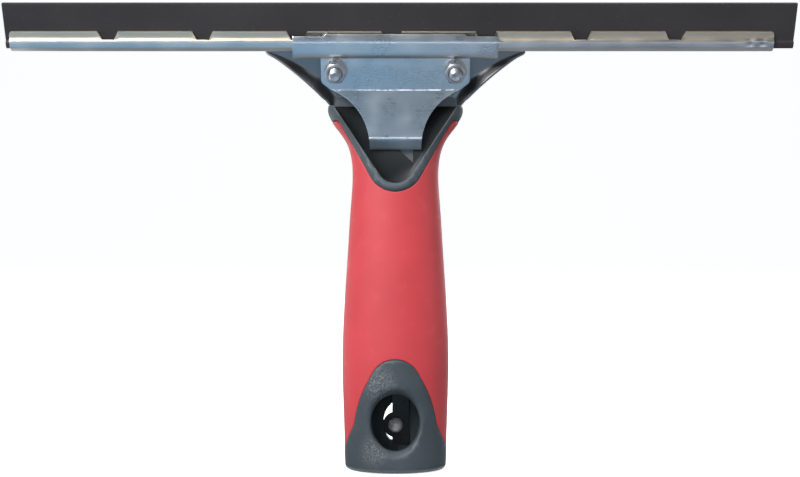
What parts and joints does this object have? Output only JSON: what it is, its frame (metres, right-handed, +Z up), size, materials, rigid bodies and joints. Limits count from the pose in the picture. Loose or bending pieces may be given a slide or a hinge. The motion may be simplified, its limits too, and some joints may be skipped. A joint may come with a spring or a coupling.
{
  "type": "window squeegee",
  "caption": "Window squeegee: leaning steel clamp head with a rubber blade in a folded channel, on a soft-grip hollow handle with a sprung lock ball for an extension pole.",
  "frame": {"origin": "centre of the pole socket's mouth, on the handle's bottom face", "axes": "+X along the blade to the right seen from the front, +Z up the handle to the head, -Y towards the front, where the clamp nuts are"},
  "size_m": [0.315, 0.0325, 0.1873],
  "materials": {
    "blade_rubber": "matt black wiper rubber, faintly dusty, cut edge",
    "channel_steel": "rolled stainless strip, lengthwise grain",
    "jaw_steel": "bright zinc-plated pressed steel, scuffed",
    "fastener_steel": "plated M5 hardware",
    "rivet_steel": "plain steel rivets",
    "spring_steel": "blackened spring steel",
    "ball_steel": "polished steel ball",
    "core_plastic": "dark blue-grey moulded plastic with a fine spark texture",
    "grip_rubber": "soft-touch red overmould, satin"
  },
  "bodies": {
    "root": {"handle_core": "core_plastic", "grip_sleeve": "grip_rubber", "rear_jaw": "jaw_steel", "shank_rivets": "rivet_steel", "clamp_bolt_left": "fastener_steel", "clamp_bolt_right": "fastener_steel", "lock_spring": "spring_steel", "spring_rivets": "rivet_steel"},
    "front_jaw": {"front_jaw": "jaw_steel"},
    "washer_left": {"lock_washer_left": "fastener_steel"},
    "nut_left": {"clamp_nut_left": "fastener_steel"},
    "washer_right": {"lock_washer_right": "fastener_steel"},
    "nut_right": {"clamp_nut_right": "fastener_steel"},
    "channel": {"blade_channel": "channel_steel"},
    "rubber": {"rubber_blade": "blade_rubber"},
    "lock_ball": {"lock_ball": "ball_steel"}
  },
  "joints": [
    {"name": "jaw_open", "type": "hinge", "parent": "root", "child": "front_jaw", "pos_m": [0, 0.00115, 0.1306], "axis": [1, 0, 0], "range_deg": [0, 5]},
    {"name": "channel_slide", "type": "slide", "parent": "root", "child": "channel", "axis": [1, 0, 0], "range_m": [-0.06, 0.06]},
    {"name": "rubber_slide", "type": "slide", "parent": "channel", "child": "rubber", "axis": [1, 0, 0], "range_m": [-0.01, 0.3]},
    {"name": "ball_press", "type": "slide", "parent": "root", "child": "lock_ball", "axis": [0, 1, 0], "range_m": [0, 0.0031], "stiffness_N_per_m": 3000, "springref_m": -0.001, "deforming": ["lock_spring"]},
    {"name": "washer_left_slide", "type": "slide", "parent": "root", "child": "washer_left", "axis": [0, -0.9063, -0.4226], "range_m": [0, 0.0035]},
    {"name": "nut_left_turn", "type": "hinge", "parent": "washer_left", "child": "nut_left", "pos_m": [-0.024, -0.01054, 0.16002], "axis": [0, -0.9063, -0.4226], "range_deg": [0, 1500]},
    {"name": "washer_right_slide", "type": "slide", "parent": "root", "child": "washer_right", "axis": [0, -0.9063, -0.4226], "range_m": [0, 0.0035]},
    {"name": "nut_right_turn", "type": "hinge", "parent": "washer_right", "child": "nut_right", "pos_m": [0.024, -0.01054, 0.16002], "axis": [0, -0.9063, -0.4226], "range_deg": [0, 1500]}
  ],
  "couplings": [
    {"joint": "washer_left_slide", "follows": "jaw_open", "m_per_rad": 0.0364},
    {"joint": "nut_left_turn", "follows": "jaw_open", "ratio": 285.88},
    {"joint": "washer_right_slide", "follows": "jaw_open", "m_per_rad": 0.0364},
    {"joint": "nut_right_turn", "follows": "jaw_open", "ratio": 285.88}
  ]
}
